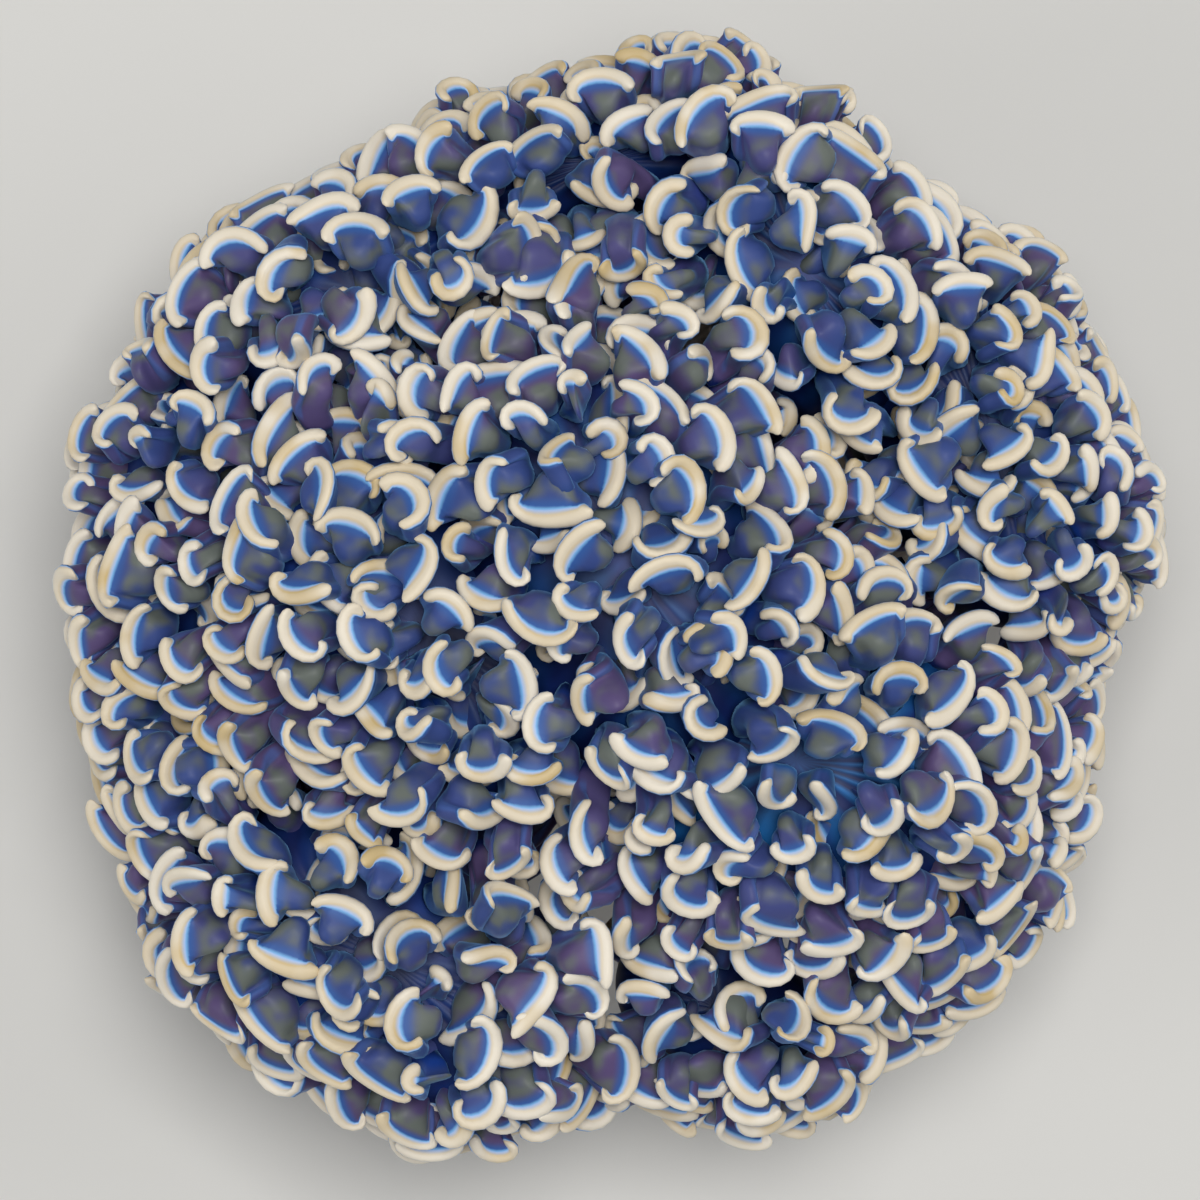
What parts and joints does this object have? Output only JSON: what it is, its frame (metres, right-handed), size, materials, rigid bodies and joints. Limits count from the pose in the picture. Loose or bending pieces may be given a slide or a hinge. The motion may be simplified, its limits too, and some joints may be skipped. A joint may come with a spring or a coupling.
{
  "type": "hammer coral",
  "caption": "Branching hammer coral with stony forked branches on a flat-cut foot and a dome of hammer-tipped tentacles on each branch.",
  "frame": {"origin": "middle of the flat cut under the foot", "axes": "+Z up from the cut, +X to the right and +Y up in a view from straight above"},
  "size_m": [0.0832, 0.0863, 0.0574],
  "materials": {
    "skeleton": "dry limestone, matt and finely ridged",
    "flesh": "soft wet flesh with a low gloss, cream rims on slate blue"
  },
  "bodies": {
    "root": {"foot": "skeleton", "limb_middle": "skeleton", "limb_north": "skeleton", "limb_east": "skeleton", "limb_south_east": "skeleton", "limb_south_west": "skeleton", "limb_west": "skeleton", "branch_middle": "skeleton", "branch_centre_left": "skeleton", "branch_lower_right": "skeleton", "branch_upper_right": "skeleton", "branch_crown": "skeleton", "branch_upper_left": "skeleton", "branch_left": "skeleton", "branch_left_low": "skeleton", "branch_lower_left": "skeleton", "branch_bottom": "skeleton", "branch_tail_right": "skeleton", "branch_right_low": "skeleton", "branch_right": "skeleton", "polyp_middle": "flesh", "polyp_centre_left": "flesh", "polyp_lower_right": "flesh", "polyp_upper_right": "flesh", "polyp_crown": "flesh", "polyp_upper_left": "flesh", "polyp_left": "flesh", "polyp_left_low": "flesh", "polyp_lower_left": "flesh", "polyp_bottom": "flesh", "polyp_tail_right": "flesh", "polyp_right_low": "flesh", "polyp_right": "flesh"}
  },
  "joints": []
}
